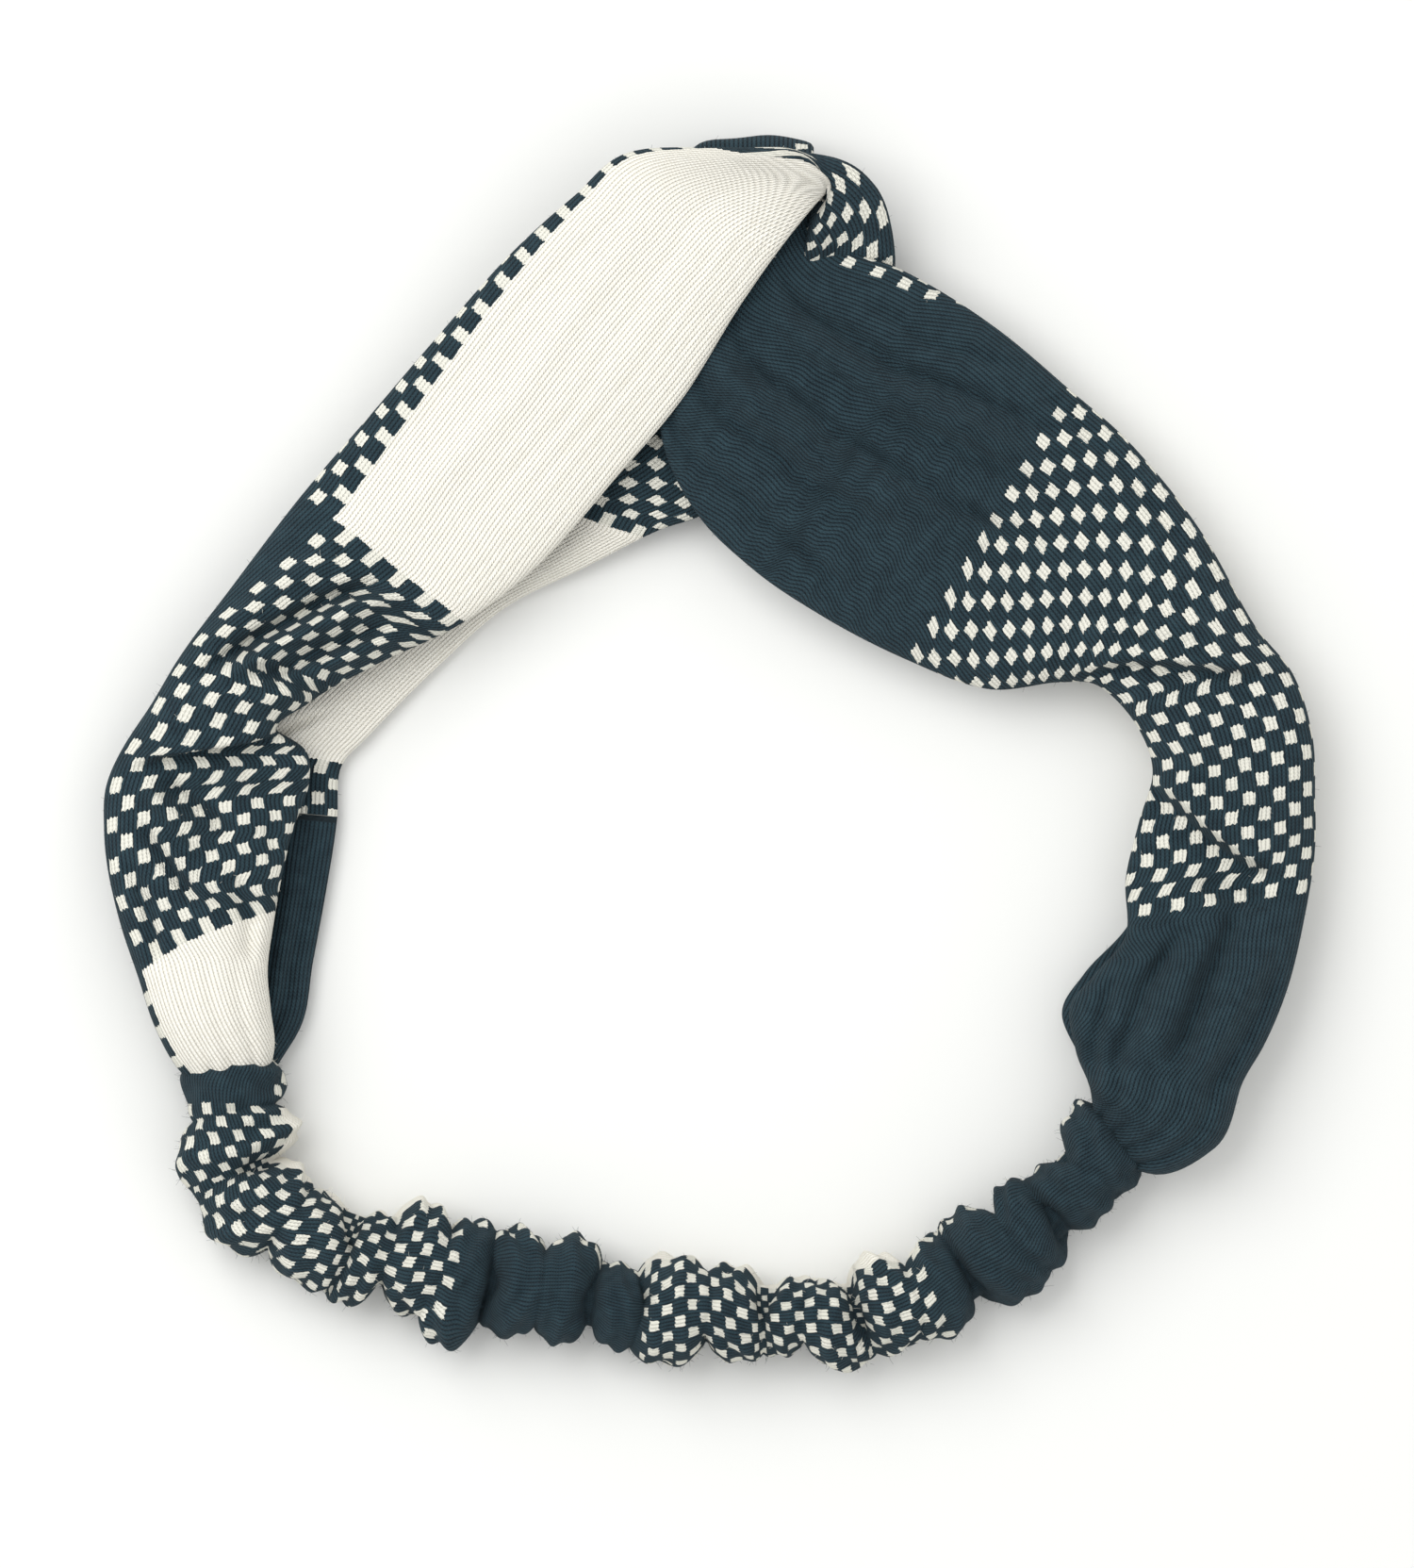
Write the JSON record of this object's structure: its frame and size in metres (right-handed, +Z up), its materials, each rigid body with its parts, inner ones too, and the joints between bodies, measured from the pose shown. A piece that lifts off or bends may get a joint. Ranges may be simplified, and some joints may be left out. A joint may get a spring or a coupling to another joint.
{
  "type": "knotted headband",
  "caption": "Stretch headband lying flat: two knitted straps hooked through each other in a knot, closed at the back by a gathered casing over a flat elastic.",
  "frame": {"origin": "middle of the footprint of the band lying flat, on the surface it rests on", "axes": "+Z up from that surface, +Y towards the knot at the front, +X towards the dark strap's side"},
  "size_m": [0.189, 0.2038, 0.0196],
  "materials": {
    "left_knit": "soft jacquard knit, cream with dark checks",
    "right_knit": "soft jacquard knit, dark with off-white checks",
    "casing_knit": "gathered jacquard knit",
    "light_thread": "sewing thread",
    "dark_thread": "sewing thread",
    "elastic": "woven flat elastic"
  },
  "bodies": {
    "right_side": {"right_strap": "right_knit", "right_strap_seam": "dark_thread", "right_join_thread": "dark_thread", "elastic_casing": "casing_knit", "casing_seam": "dark_thread", "elastic_band": "elastic"},
    "left_side": {"left_strap": "left_knit", "left_strap_seam": "light_thread", "left_join_thread": "dark_thread"}
  },
  "joints": [
    {"name": "knot_stretch", "type": "hinge", "parent": "right_side", "child": "left_side", "pos_m": [0.00414, 0.0699, 0], "axis": [0, 0, -1], "range_deg": [0, 12], "stiffness_Nm_per_rad": 1.2, "deforming": ["elastic_casing", "casing_seam", "elastic_band"]}
  ]
}
